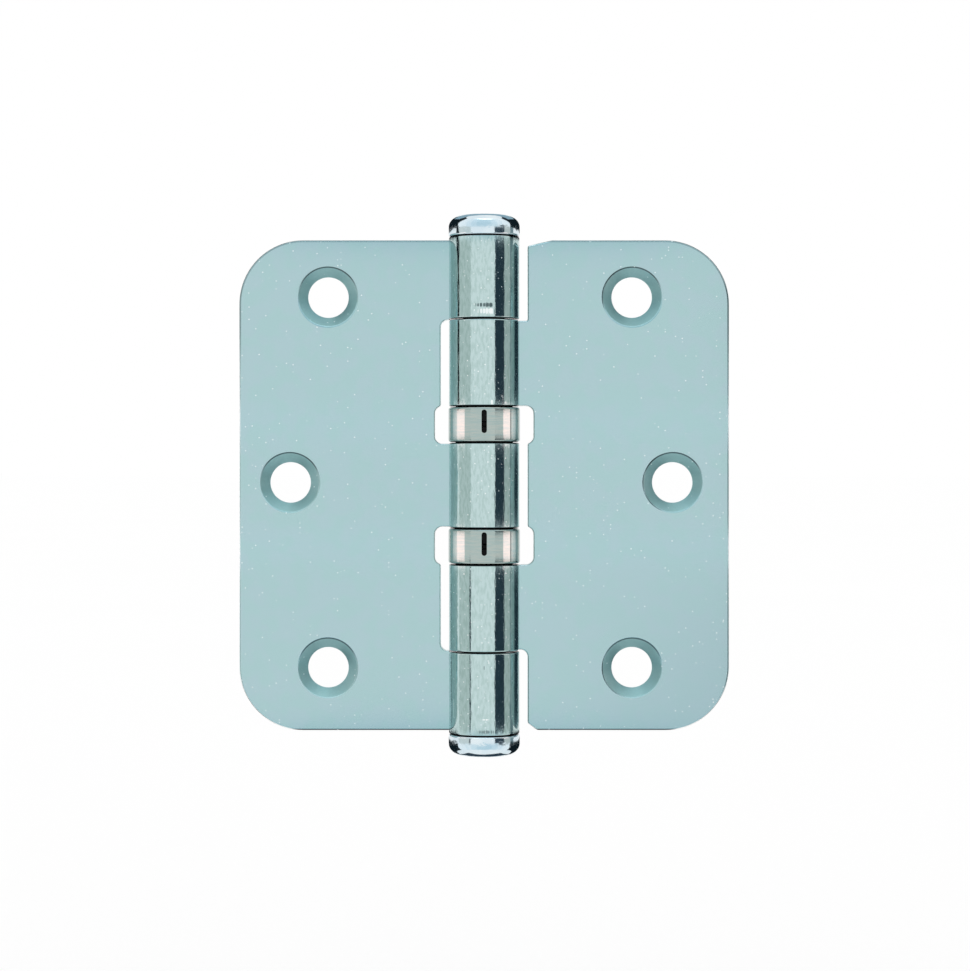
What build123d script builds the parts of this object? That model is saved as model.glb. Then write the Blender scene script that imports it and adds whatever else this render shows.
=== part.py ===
from build123d import *
import math
import os

# Ball bearing butt hinge, open flat at rest.
# The origin is the middle of the pin. +Z runs up the pin, +X across the swinging leaf, and
# -Y faces the countersunk side, where the barrel stands proud. All sizes are in millimetres.
# The leaf on -X carries knuckles 1, 3 and 5 with the pin; the leaf on +X carries 2 and 4.

# Leaves
LEAF_HEIGHT = 89.0
OPEN_WIDTH = 89.0
SHEET = 2.5
CORNER_RADIUS = 11.6
LEAF_SETBACK = 0.8  # from the pin's centre plane to each countersunk face
EDGE_ROUND = 0.3
BEND_RADIUS = 3.0  # to the middle of the sheet, where it bends out to the barrel
SEAM_GAP = 0.12  # where the rolled strip closes on the leaf's front face

# Pin and barrel
PIN_RADIUS = 3.85
PIN_CLEARANCE = 0.05
MIDDLE_KNUCKLE = 15.4
INNER_KNUCKLE = 15.6
KNUCKLE_GAP = 0.25
KNUCKLE_OVERHANG = 0.45  # how far the barrel stands past the leaf's top and bottom edges

# Cut-outs in the leaves, beside the barrel
BARREL_SPACE = 1.5
BEARING_SPACE = 2.55
BEARING_MARGIN = 0.15
GAP_CORNER = 1.3
TOP_GAP_CORNER = 0.3
RELIEF_CORNER = 1.35
TOP_NIP = (4.4, 1.0)  # width and height off the free corner beside knuckle 1
BOTTOM_NIP = (1.7, 1.3)  # and off the one beside knuckle 5

# Screw holes
THREE_KNUCKLE_COLUMNS = (28.4, 35.3)  # outer holes and middle hole, from the pin
TWO_KNUCKLE_COLUMNS = (26.9, 34.3)  # the same on the other leaf
SCREW_RISE = 33.7
SCREW_SHIFT = 0.5  # the screw pattern's middle above the leaf's middle
SCREW_RADIUS = 3.7
COUNTERSINK_RADIUS = 5.4
COUNTERSINK_ANGLE = 90.0

# Button head of the pin and of the plug
CAP_RADIUS = 6.45
CAP_HEIGHT = 3.9
CAP_SHOULDER = (2.4, 2.1)  # width and height of the rounded shoulder
CAP_EDGE = 0.45
PIN_TIP_CHAMFER = 1.0
PLUG_LENGTH = 7.0
PLUG_FIT = 0.01
PIN_TO_PLUG = 0.8
SERRATION_COUNT = 24
SERRATION_LENGTH = 6.0
SERRATION_START = 2.5  # below the head
SERRATION_RISE = 0.045
SERRATION_WIDTH = 0.35

# Bearings
BEARING_HEIGHT = 6.55
SHELL_RADIUS = 6.5
SHELL_WALL = 0.45
SHELL_RECESS = 0.15  # the races stand this far out of the shell at each end
SHELL_LIP = 0.7  # how far each lip reaches in over its race
SHELL_EDGE = 0.42
RACE_BORE_CLEARANCE = 0.1
RACE_CLEARANCE = 0.05  # between the turning race and the shell
RACE_FIT = 0.01  # between the held race and the shell
RACE_CHAMFER = 0.15
BALL_SHARE = 0.69  # a ball's diameter as a share of the races' width
BALL_COUNT = 14
BALL_CLEARANCE = 0.03
CAGE_THICKNESS = 0.6
CAGE_CLEARANCE = 0.12  # to the shell, and half of it past the races' bore
CAGE_TO_RACE = 0.15
POCKET_CLEARANCE = 0.05
SLOT_WIDTH = 0.95
SLOT_HEIGHT = 4.2
SLOT_RISE = 0.5  # the slot's middle above the shell's middle

# Derived
BORE_RADIUS = PIN_RADIUS + PIN_CLEARANCE
BARREL_RADIUS = BORE_RADIUS + SHEET
SHEET_MIDDLE = LEAF_SETBACK + SHEET / 2
LEAF_BACK = LEAF_SETBACK + SHEET
LEAF_REACH = OPEN_WIDTH / 2
BARREL_END = LEAF_HEIGHT / 2 + KNUCKLE_OVERHANG
BEARING_MIDDLE = (MIDDLE_KNUCKLE + BEARING_HEIGHT) / 2
BEARING_TOP = MIDDLE_KNUCKLE / 2 + BEARING_HEIGHT
SHELL_BORE = SHELL_RADIUS - SHELL_WALL
RACE_BORE = PIN_RADIUS + RACE_BORE_CLEARANCE
PITCH_RADIUS = (RACE_BORE + SHELL_BORE) / 2
BALL_RADIUS = BALL_SHARE * (SHELL_BORE - RACE_BORE) / 2
GROOVE_RADIUS = BALL_RADIUS + BALL_CLEARANCE
RACE_FACE = CAGE_THICKNESS / 2 + CAGE_TO_RACE  # from the balls' centre plane

# The sheet's middle line runs straight, bends out about BEND_CENTRE and rolls about the pin.
BARREL_MIDDLE = (BORE_RADIUS + BARREL_RADIUS) / 2
BEND_CENTRE = (
    math.sqrt((BARREL_MIDDLE + BEND_RADIUS) ** 2 - (SHEET_MIDDLE + BEND_RADIUS) ** 2),
    SHEET_MIDDLE + BEND_RADIUS,
)
ROLL_START = math.degrees(math.atan2(BEND_CENTRE[1], BEND_CENTRE[0]))


def knuckle_rows():
    """The low and high end of each knuckle, from the top one down."""
    inner = (BEARING_TOP, BEARING_TOP + INNER_KNUCKLE)
    outer = (inner[1] + KNUCKLE_GAP, BARREL_END)
    middle = (-MIDDLE_KNUCKLE / 2, MIDDLE_KNUCKLE / 2)
    return [outer, inner, middle, (-inner[1], -inner[0]), (-outer[1], -outer[0])]


def block(x_low, x_high, z_low, z_high):
    """A rectangle in the plane of the leaves, from its sides."""
    middle = ((x_low + x_high) / 2, (z_low + z_high) / 2)
    return Pos(*middle) * Rectangle(x_high - x_low, z_high - z_low)


def notch(depth, z_low, z_high, low_corner, high_corner):
    """A cut from the pin outwards to depth, with its two outer corners rounded."""
    shape = block(0, depth, z_low, z_high)
    for height, radius in ((z_low, low_corner), (z_high, high_corner)):
        corner = shape.vertices().sort_by_distance((depth, height))[0]
        shape = fillet(corner, radius)
    return shape


def nip(side, width, height):
    """The slanted cut that takes off a leaf's free corner beside the barrel."""
    edge = side * LEAF_HEIGHT / 2
    inner, outer = BEND_CENTRE[0] - SHEET, BARREL_RADIUS + BARREL_SPACE
    inside, outside = edge - side * height, edge + side * SHEET
    corners = [(inner, inside), (outer, inside), (outer + width, edge)]
    corners += [(outer + width, outside), (inner, outside)]
    return make_face(Polyline(*corners, close=True))


def leaf_outline(own, nips):
    """The flat outline of a leaf on +X, from where its sheet starts to bend.

    own lists the rows of the knuckles that grow out of this leaf, from the top one down,
    and nips the free corners to take off as side, width and height.
    """
    half = LEAF_HEIGHT / 2
    outline = block(BEND_CENTRE[0], LEAF_REACH, -half, half)
    far_corners = outline.vertices().group_by(Axis.X)[-1]
    outline = fillet(far_corners, CORNER_RADIUS)

    tops = [half + SHEET] + [low for low, high in own]
    bottoms = [high for low, high in own] + [-half - SHEET]
    for top, bottom in zip(tops, bottoms):
        if top - bottom > 2 * SHEET:
            low_corner = TOP_GAP_CORNER if top > half else GAP_CORNER
            outline -= notch(BARREL_RADIUS + BARREL_SPACE, bottom, top, low_corner, GAP_CORNER)

    relief = BEARING_HEIGHT / 2 + BEARING_MARGIN
    for middle in (BEARING_MIDDLE, -BEARING_MIDDLE):
        low, high = middle - relief, middle + relief
        outline -= notch(BARREL_RADIUS + BEARING_SPACE, low, high, RELIEF_CORNER, RELIEF_CORNER)
    for side, width, height in nips:
        outline -= nip(side, width, height)
    return outline


def roll_profile():
    """The section of a knuckle: the bend out of the leaf and the roll around the pin."""
    bend_end = ROLL_START + 180
    bend_turn = 270 - bend_end
    seam = math.degrees(math.asin((LEAF_SETBACK - SEAM_GAP) / BARREL_RADIUS))
    turn = 360 - ROLL_START + seam
    outside = CenterArc((0, 0), BARREL_RADIUS, ROLL_START, turn)
    inside = CenterArc((0, 0), BORE_RADIUS, ROLL_START, turn)
    back = CenterArc(BEND_CENTRE, BEND_RADIUS - SHEET / 2, bend_end, bend_turn)
    front = CenterArc(BEND_CENTRE, BEND_RADIUS + SHEET / 2, bend_end, bend_turn)
    strip_end = Line(outside @ 1, inside @ 1)
    leaf_side = Line(back @ 1, front @ 1)
    return make_face([outside, strip_end, inside, front, leaf_side, back])


def rounded_knuckle(low, high):
    """One knuckle with its end edges rounded, apart from where it joins the leaf."""
    roll = extrude(Pos(0, 0, low) * roll_profile(), high - low)
    joint = BEND_CENTRE[0] - EDGE_ROUND / 10
    levels = roll.edges().group_by(Axis.Z)
    ends = [*levels[0], *levels[-1]]
    return fillet([edge for edge in ends if edge.center().X < joint], EDGE_ROUND)


def countersink(x, z):
    """The cutter for one screw hole, with its wide end on the countersunk face."""
    depth = (COUNTERSINK_RADIUS - SCREW_RADIUS) / math.tan(math.radians(COUNTERSINK_ANGLE / 2))
    outline = Polyline(
        (0, -SHEET),
        (COUNTERSINK_RADIUS, -SHEET),
        (COUNTERSINK_RADIUS, 0),
        (SCREW_RADIUS, depth),
        (SCREW_RADIUS, 2 * SHEET),
        (0, 2 * SHEET),
        close=True,
    )
    cutter = revolve(Plane.XZ * make_face(outline), Axis.Z)
    place = Plane(origin=(x, LEAF_SETBACK, z), z_dir=(0, 1, 0))
    return place * cutter


def leaf(own, nips, columns):
    """A leaf on +X with its rolled knuckles and three countersunk screw holes."""
    face_plane = Plane(origin=(0, LEAF_BACK, 0), x_dir=(1, 0, 0), z_dir=(0, -1, 0))
    plate = extrude(face_plane * leaf_outline(own, nips), SHEET)
    joint = BEND_CENTRE[0] + EDGE_ROUND / 10
    layers = plate.edges().group_by(Axis.Y)
    rims = [*layers[0], *layers[-1]]
    plate = fillet([edge for edge in rims if edge.center().X > joint], EDGE_ROUND)
    solid = plate + [rounded_knuckle(low, high) for low, high in own]
    near, far = columns
    screws = [(near, SCREW_RISE), (far, 0), (near, -SCREW_RISE)]
    return solid - [countersink(x, z + SCREW_SHIFT) for x, z in screws]


def button():
    """The domed cap on the pin and on the plug, with its underside on the XY plane."""
    width, height = CAP_SHOULDER
    side_top = CAP_HEIGHT - height
    under = Line((0, 0), (CAP_RADIUS - CAP_EDGE, 0))
    edge = CenterArc((CAP_RADIUS - CAP_EDGE, CAP_EDGE), CAP_EDGE, 270, 90)
    side = Line(edge @ 1, (CAP_RADIUS, side_top))
    shoulder = EllipticalCenterArc((CAP_RADIUS - width, side_top), width, height)
    top = Line((CAP_RADIUS - width, CAP_HEIGHT), (0, CAP_HEIGHT))
    middle = Line((0, CAP_HEIGHT), (0, 0))
    profile = make_face([under, edge, side, shoulder, top, middle])
    return revolve(Plane.XZ * profile, Axis.Z)


def shank(radius, low, high, chamfer_size):
    """A round shank between two heights, chamfered at its lower end."""
    body = Pos(0, 0, low) * Cylinder(
        radius, high - low, align=(Align.CENTER, Align.CENTER, Align.MIN)
    )
    return chamfer(body.edges().sort_by(Axis.Z)[0], chamfer_size)


def hinge_pin():
    """The pin: a button head, a serrated neck that grips knuckle 1, and a plain shaft."""
    tip = -BARREL_END + PLUG_LENGTH + PIN_TO_PLUG
    pin = Pos(0, 0, BARREL_END) * button() + shank(PIN_RADIUS, tip, BARREL_END, PIN_TIP_CHAMFER)
    tooth = make_face(
        Polyline(
            (PIN_RADIUS - SERRATION_WIDTH, -SERRATION_WIDTH / 2),
            (PIN_RADIUS - SERRATION_RISE, -SERRATION_WIDTH / 2),
            (PIN_RADIUS + SERRATION_RISE, 0),
            (PIN_RADIUS - SERRATION_RISE, SERRATION_WIDTH / 2),
            (PIN_RADIUS - SERRATION_WIDTH, SERRATION_WIDTH / 2),
            close=True,
        )
    )
    low = BARREL_END - SERRATION_START - SERRATION_LENGTH
    ridge = extrude(Pos(0, 0, low) * tooth, SERRATION_LENGTH)
    step = 360 / SERRATION_COUNT
    return pin + [Rot(0, 0, turn * step) * ridge for turn in range(SERRATION_COUNT)]


def bottom_plug():
    """The button that closes knuckle 5, with a shank pressed up into its bore."""
    radius = BORE_RADIUS - PLUG_FIT
    plug = Rot(180, 0, 0) * (button() + shank(radius, -PLUG_LENGTH, 0, PIN_TIP_CHAMFER / 2))
    return Pos(0, 0, -BARREL_END) * plug


def bearing_shell():
    """The bearing's rolled can, with a lip over each race and a narrow slot in its wall."""
    half = BEARING_HEIGHT / 2 - SHELL_RECESS
    wall = block(SHELL_BORE - SHELL_LIP, SHELL_RADIUS, -half, half)
    wall = fillet(wall.vertices().group_by(Axis.X)[-1], SHELL_EDGE)
    inside = half - SHELL_WALL
    wall -= block(SHELL_BORE - 2 * SHELL_LIP, SHELL_BORE, -inside, inside)
    can = revolve(Plane.XZ * wall, Axis.Z)
    slot_plane = Plane(origin=(0, 0, SLOT_RISE), x_dir=(0, 0, 1), z_dir=(0, -1, 0))
    return can - extrude(slot_plane * SlotOverall(SLOT_HEIGHT, SLOT_WIDTH), 2 * SHELL_RADIUS)


def bearing_race(fit):
    """The top race: it fills the shell to within fit, and its neck passes the lip."""
    radius = SHELL_BORE - fit
    neck = SHELL_BORE - SHELL_LIP - RACE_CLEARANCE
    top = BEARING_HEIGHT / 2
    shoulder = top - SHELL_RECESS - SHELL_WALL - fit
    body = block(RACE_BORE, radius, RACE_FACE, shoulder)
    body += block(RACE_BORE, neck, RACE_FACE, top)
    rims = [*body.vertices().group_by(Axis.Y)[-1], *body.vertices().group_by(Axis.X)[-1]]
    race = revolve(Plane.XZ * chamfer(rims, RACE_CHAMFER), Axis.Z)
    return race - Torus(PITCH_RADIUS, GROOVE_RADIUS)


def bearing_cage():
    """The flat cage between the races, with one pocket for each ball."""
    inner = RACE_BORE + CAGE_CLEARANCE / 2
    outer = SHELL_BORE - CAGE_CLEARANCE
    ring = Cylinder(outer, CAGE_THICKNESS) - Cylinder(inner, CAGE_THICKNESS)
    pocket = Cylinder(BALL_RADIUS + POCKET_CLEARANCE, CAGE_THICKNESS)
    return ring - [place * pocket for place in PolarLocations(PITCH_RADIUS, BALL_COUNT)]


def bearing(height):
    """The pieces of one bearing by name, with its middle at height on the pin.

    The shell holds the bottom race, and the top race turns inside it.
    """
    place = Pos(0, 0, height)
    pieces = {
        "shell": place * bearing_shell(),
        "top_race": place * bearing_race(RACE_CLEARANCE),
        "bottom_race": place * Rot(180, 0, 0) * bearing_race(RACE_FIT),
        "cage": place * bearing_cage(),
    }
    for number, spot in enumerate(PolarLocations(PITCH_RADIUS, BALL_COUNT), start=1):
        pieces[f"ball_{number:02d}"] = place * spot * Sphere(BALL_RADIUS)
    return pieces


def all_pieces():
    """Every piece of the hinge by its node's name."""
    rows = knuckle_rows()
    nips = [(1, *TOP_NIP), (-1, *BOTTOM_NIP)]
    pieces = {
        "three_knuckle_leaf": mirror(leaf(rows[0::2], [], THREE_KNUCKLE_COLUMNS), Plane.YZ),
        "two_knuckle_leaf": leaf(rows[1::2], nips, TWO_KNUCKLE_COLUMNS),
        "hinge_pin": hinge_pin(),
        "bottom_plug": bottom_plug(),
    }
    for name, height in (("upper", BEARING_MIDDLE), ("lower", -BEARING_MIDDLE)):
        for piece, solid in bearing(height).items():
            pieces[f"{name}_bearing_{piece}"] = solid
    return pieces


os.makedirs("parts", exist_ok=True)
for node, solid in all_pieces().items():
    export_step(solid, f"parts/{node}.step")
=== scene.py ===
"""The looks of a ball bearing butt hinge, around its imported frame.

The frame's +Z runs up the pin, +X across the swinging leaf, and -Y faces the countersunk side.
Sizes in the classes are in millimetres; finished meshes are in metres, in the frame's place.
"""

import logging
import math
from dataclasses import dataclass, field
from enum import Enum
from typing import Callable

import bmesh
import bpy
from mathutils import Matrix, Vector


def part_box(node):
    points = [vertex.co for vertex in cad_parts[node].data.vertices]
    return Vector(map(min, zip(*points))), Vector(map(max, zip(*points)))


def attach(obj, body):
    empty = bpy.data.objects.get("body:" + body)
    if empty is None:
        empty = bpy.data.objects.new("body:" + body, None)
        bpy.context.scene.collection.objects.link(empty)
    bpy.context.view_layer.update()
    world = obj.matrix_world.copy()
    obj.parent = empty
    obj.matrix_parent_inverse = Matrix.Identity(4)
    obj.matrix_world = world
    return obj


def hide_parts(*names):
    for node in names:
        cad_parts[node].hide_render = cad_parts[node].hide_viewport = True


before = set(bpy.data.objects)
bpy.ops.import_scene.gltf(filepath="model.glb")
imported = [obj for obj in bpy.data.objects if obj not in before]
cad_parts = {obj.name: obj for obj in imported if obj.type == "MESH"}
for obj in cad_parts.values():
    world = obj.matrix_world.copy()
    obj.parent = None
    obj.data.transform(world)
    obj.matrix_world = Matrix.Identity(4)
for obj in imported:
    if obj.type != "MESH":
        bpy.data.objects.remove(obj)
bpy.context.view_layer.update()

MM = 0.001
TINY = 0.005
# Radii beyond which the film is full: painted shade on the races, balls and cage where the slots show them.
GREASE_AND_SHADE_RADII = (4.9, 5.3)
LOG = logging.getLogger("hinge")

Point = tuple[float, float, float]
Point2 = tuple[float, float]
Test = Callable[[Vector, Vector], bool]


class Side(Enum):
    """The side of the pin that a leaf lies on when the hinge is open."""

    LEFT = -1
    RIGHT = 1


class Kind(Enum):
    """What a selection in edit mode is made of."""

    VERT = "verts"
    EDGE = "edges"
    FACE = "faces"


class Signal:
    """One output in a shader, on which sums are written as Python expressions."""

    def __init__(self, board: "Board", socket: bpy.types.NodeSocket) -> None:
        """Wrap a socket.

        Args:
            board: The material's nodes that the socket belongs to.
            socket: The output to work on.
        """
        self.board = board
        self.socket = socket

    def _math(self, operation: str, *values: object) -> "Signal":
        """Add one Math node and give its output."""
        return self.board.node("ShaderNodeMath", {"operation": operation}, dict(enumerate(values)))

    def __add__(self, other: object) -> "Signal":
        """Sum."""
        return self._math("ADD", self, other)

    def __radd__(self, other: object) -> "Signal":
        """Sum, from the right."""
        return self._math("ADD", other, self)

    def __sub__(self, other: object) -> "Signal":
        """Difference."""
        return self._math("SUBTRACT", self, other)

    def __rsub__(self, other: object) -> "Signal":
        """Difference, from the right."""
        return self._math("SUBTRACT", other, self)

    def __mul__(self, other: object) -> "Signal":
        """Product."""
        return self._math("MULTIPLY", self, other)

    def __rmul__(self, other: object) -> "Signal":
        """Product, from the right."""
        return self._math("MULTIPLY", other, self)

    def __truediv__(self, other: object) -> "Signal":
        """Quotient."""
        return self._math("DIVIDE", self, other)

    def __pow__(self, other: object) -> "Signal":
        """Power."""
        return self._math("POWER", self, other)

    def __abs__(self) -> "Signal":
        """Size without its sign."""
        return self._math("ABSOLUTE", self)

    def over(self, limit: float) -> "Signal":
        """By how much it passes a limit, or 0."""
        return self._math("MAXIMUM", self - limit, 0.0)

    def least(self, other: object) -> "Signal":
        """The smaller of the two."""
        return self._math("MINIMUM", self, other)

    def fraction(self) -> "Signal":
        """What it has beyond a whole number."""
        return self._math("FRACT", self)

    def hypot(self, other: "Signal") -> "Signal":
        """The length of a flat vector of the two."""
        return (self * self + other * other) ** 0.5

    def turn(self, ahead: object) -> "Signal":
        """The angle in radians, away from ahead and towards this one."""
        return self._math("ARCTAN2", self, ahead)

    def other(self, output: str) -> "Signal":
        """Another output of the same node."""
        return Signal(self.board, self.socket.node.outputs[output])

    def rise(self, low: float, high: float) -> "Signal":
        """A smooth step from 0 at low to 1 at high."""
        inputs = {"Value": self, "From Min": low, "From Max": high}
        return self.board.node("ShaderNodeMapRange", {"interpolation_type": "SMOOTHSTEP"}, inputs)

    def band(self, middle: float, width: float, blur: float) -> "Signal":
        """A band of a full width that is 1 around a middle value, with blurred edges."""
        return 1 - abs(self - middle).rise((width - blur) / 2, (width + blur) / 2)


class Board:
    """The shader nodes of one finish."""

    def __init__(self, name: str) -> None:
        """Start a material with its Principled shader.

        Args:
            name: The material's name.
        """
        self.material = bpy.data.materials.new(name)
        self.material.use_nodes = True
        self.tree = self.material.node_tree
        self.shader = self.tree.nodes["Principled BSDF"]

    def feed(self, socket: bpy.types.NodeSocket, value: object) -> None:
        """Set a socket to a plain value, or link a signal to it.

        Args:
            socket: The input to feed.
            value: A number, a colour or a signal.
        """
        if isinstance(value, Signal):
            self.tree.links.new(value.socket, socket)
        else:
            socket.default_value = value

    def node(self, kind: str, settings: dict, inputs: dict, output: int | str = 0) -> Signal:
        """Add a node of any kind.

        Args:
            kind: The node's type.
            settings: Its own settings, set before its sockets.
            inputs: Values or signals by socket.
            output: Which output to give.

        Returns:
            The chosen output.
        """
        made = self.tree.nodes.new(kind)
        for key, value in settings.items():
            setattr(made, key, value)
        for key, value in inputs.items():
            self.feed(made.inputs[key], value)
        return Signal(self, made.outputs[output])

    def mix(self, share: object, first: object, second: object) -> Signal:
        """Mix two colours, the first at a share of 0 and the second at 1."""
        inputs = {"Factor": share, 6: first, 7: second}
        return self.node("ShaderNodeMix", {"data_type": "RGBA"}, inputs, 2)

    def place(self) -> Signal:
        """The point on the piece, in millimetres of the frame."""
        point = self.node("ShaderNodeTexCoord", {}, {}, "Object")
        return self.node("ShaderNodeVectorMath", {"operation": "SCALE"}, {0: point, "Scale": 1 / MM})

    def along(self, point: Signal) -> tuple[Signal, Signal, Signal]:
        """The x, y and z of a point."""
        x = self.node("ShaderNodeSeparateXYZ", {}, {0: point})
        return x, x.other("Y"), x.other("Z")

    def point(self, x: object, y: object, z: object) -> Signal:
        """A point from three numbers."""
        return self.node("ShaderNodeCombineXYZ", {}, {0: x, 1: y, 2: z})

    def noise(self, point: Signal, grain: float, detail: float = 2.0) -> Signal:
        """Cloudy noise of about 0.5, by the size of its clouds and its number of finer layers."""
        inputs = {"Vector": point, "Scale": 1 / grain, "Detail": detail}
        return self.node("ShaderNodeTexNoise", {}, inputs)

    def specks(self, point: Signal, spacing: float, size: float, share: Signal | float) -> Signal:
        """Small round spots at random places.

        Args:
            point: Where they are read.
            spacing: The mean distance between the places.
            size: A spot's radius, as a share of the spacing.
            share: The part of the places that has a spot.

        Returns:
            The spots' mask.
        """
        inputs = {"Vector": point, "Scale": 1 / spacing}
        reach = self.node("ShaderNodeTexVoronoi", {}, inputs, "Distance")
        lot, grade, _ = self.along(reach.other("Color"))
        chosen = (share - lot).rise(0.0, 0.01)
        return (1 - reach.rise(size * 0.4, size)) * chosen * (0.4 + 0.6 * grade)

    def bump(self, height: Signal, depth: float) -> Signal:
        """A normal with bumps of a height of 0 to 1, as deep as said in millimetres."""
        return self.node("ShaderNodeBump", {}, {"Height": height, "Distance": depth * MM})

    def finish(self, **sockets: object) -> bpy.types.Material:
        """Feed the shader's own sockets.

        Args:
            sockets: Values or signals by socket name, with _ for a space.

        Returns:
            The finished material.
        """
        for name, value in sockets.items():
            self.feed(self.shader.inputs[name.replace("_", " ")], value)
        return self.material


def tint(*values: int) -> tuple[float, ...]:
    """A linear colour with full alpha, from red, green and blue of 0 to 255."""
    shares = [value / 255 for value in values]
    return (*(((share + 0.055) / 1.055) ** 2.4 if share > 0.04 else share / 12.92 for share in shares), 1.0)


class Metal(Board):
    """The nodes of a metal finish, which starts from the point on the piece.

    Attributes:
        here: The point, in millimetres of the frame.
        x, y, z: Its three numbers.
        out: Its distance from the pin's axis.
    """

    def __init__(self, name: str) -> None:
        """Start the material and find the point.

        Args:
            name: The material's name.
        """
        super().__init__(name)
        self.here = self.place()
        self.x, self.y, self.z = self.along(self.here)
        self.out = self.x.hypot(self.y)

    def film(self, grain: float, low: float, high: float) -> Signal:
        """Grease in patches over the ball track, and a full film beyond it as painted shade, so the slots
        read black.
        """
        thick = self.noise(self.here, grain, 3.0).rise(low, high)
        return (thick + self.out.rise(*GREASE_AND_SHADE_RADII)).rise(0.0, 1.0)


@dataclass(frozen=True)
class ScuffAndHighlight:
    """A mark on a knuckle, by its place round and along the pin: a dark one is worn or pressed, a bright
    one is a painted highlight on a small dent.
    """

    angle: float
    height: float
    width: float
    length: float
    bright: float


@dataclass(frozen=True)
class ZincPlate:
    """Bright zinc on rolled sheet: faint teal and lilac clouds, specks of painted glint, rolling marks on
    the barrel, and painted shade and highlights along its edges, holes and knuckles.
    """

    teal: tuple = (171, 203, 205)
    lilac: tuple = (174, 202, 207)
    # Painted shade towards the plates' lower right corner.
    corner_shade: tuple = (160, 188, 195)
    # Painted shade in the countersinks, which also darkens the back face.
    countersink_shade: tuple = (146, 183, 184)
    # Painted shade along the plates' upper edges.
    top_edge_shade: tuple = (146, 169, 172)
    # Pale: painted highlights along the outline and on dents, and painted glints.
    pale: tuple = (246, 252, 252)
    barrel_tone: tuple = (192, 215, 215)
    dull: tuple = (177, 202, 200)
    # Dark: painted shade on the bottom edges and over the holes, and dark scuffs on the knuckles.
    dark: tuple = (60, 78, 82)
    soot: tuple = (8, 14, 18)
    cloud: float = 3.5
    plate_roughness: float = 0.14
    edge_roughness: float = 0.4
    barrel_roughness: float = 0.07
    barrel_radius: float = 6.4
    joints: tuple = (7.7, 14.25, 29.98, 44.95)
    joint_width: float = 0.42
    holes: tuple = ()
    hole_pitch: float = 33.7
    hole_shift: float = 0.5
    hole_rim: float = 5.42
    corner_centre: float = 32.9
    corner_reach: Point2 = (11.2, 11.3)
    plate_start: Point2 = (9.3, 9.4)
    edge_depth: Point2 = (0.82, 0.9)
    front_depth: Point2 = (1.0, 1.1)
    rim_depth: Point2 = (1.2, 1.3)
    top_line: Point2 = (20.0, 30.0)
    bottom_line: Point2 = (44.2, 44.3)
    scuffs_and_highlights: tuple = (
        ScuffAndHighlight(4.0, 31.2, 4.2, 1.3, 0.9),
        ScuffAndHighlight(1.0, 32.3, 4.4, 1.0, -0.9),
        ScuffAndHighlight(13.0, 14.9, 1.0, 1.0, 0.9),
        ScuffAndHighlight(0.0, -32.6, 0.25, 1.2, -0.9),
        ScuffAndHighlight(1.0, -41.9, 1.5, 0.3, 1.0),
        ScuffAndHighlight(-60.0, -40.0, 0.6, 4.2, 1.0),
        ScuffAndHighlight(4.0, -44.1, 4.6, 0.8, -0.6),
    )

    def material(self) -> bpy.types.Material:
        """Make the finish.

        Returns:
            The material.
        """
        board = Metal("zinc_plate")
        barrel = 1 - board.out.rise(self.barrel_radius + 0.03, self.barrel_radius + 0.12)
        around = board.x.turn(board.y * -1) * self.barrel_radius
        clouds = board.noise(board.here, self.cloud, 3.0)
        rub = board.noise(board.here, 0.35, 3.0)
        edges = board.y.rise(*self.edge_depth) * (1 - barrel)

        colour = board.mix(barrel, self.flat_tone(board, clouds), self.rolled_tone(board, around))
        colour = self.lined(board, colour, edges, barrel, rub)
        # Painted shade: a thin dark arc along the rim over each screw hole.
        colour = board.mix(self.hole_arc_shade(board), colour, tint(*self.dark))
        rim = abs(board.x).rise(33.0, 44.0) * 0.5 + abs(board.z).rise(35.0, 44.0) * 0.5
        # Pale specks: painted glints, thicker near the plates' edges and on the barrel, where they also
        # roughen it.
        spots = board.specks(board.here, 0.62, 0.28, 0.07 + 0.1 * rim + 0.3 * barrel)
        colour = board.mix(spots, colour, tint(*self.pale))
        colour = self.marked(board, colour, around, barrel)

        ripple = board.noise(board.point(around, board.z * 0.12, 0.0), 0.4, 3.0)
        plate = self.plate_roughness + (self.edge_roughness - self.plate_roughness) * edges
        rough = plate * (1 - barrel) + (self.barrel_roughness + 0.3 * spots) * barrel
        return board.finish(
            Base_Color=colour,
            Metallic=1.0,
            Roughness=rough + (rub - 0.5) * 0.05,
            Normal=board.bump(ripple * barrel + clouds * 0.4 * (1 - barrel), 0.014),
        )

    def flat_tone(self, board: Metal, clouds: Signal) -> Signal:
        """The plates' cloudy teal, with painted shade that deepens it towards the lower right corner."""
        colour = board.mix(clouds.rise(0.4, 0.6), tint(*self.teal), tint(*self.lilac))
        # Painted shade over the right leaf's lower half, darkest at its corner.
        corner = board.x.rise(5.0, 46.0) * (board.z * -1).rise(0.0, 46.0)
        return board.mix(corner * 0.7, colour, tint(*self.corner_shade))

    def rolled_tone(self, board: Metal, around: Signal) -> Signal:
        """The barrel's fine upright streaks."""
        streaks = board.noise(board.point(around, board.z * 0.3, 0.0), 0.45, 4.0)
        return board.mix(streaks.rise(0.35, 0.6), tint(*self.dull), tint(*self.barrel_tone))

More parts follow.
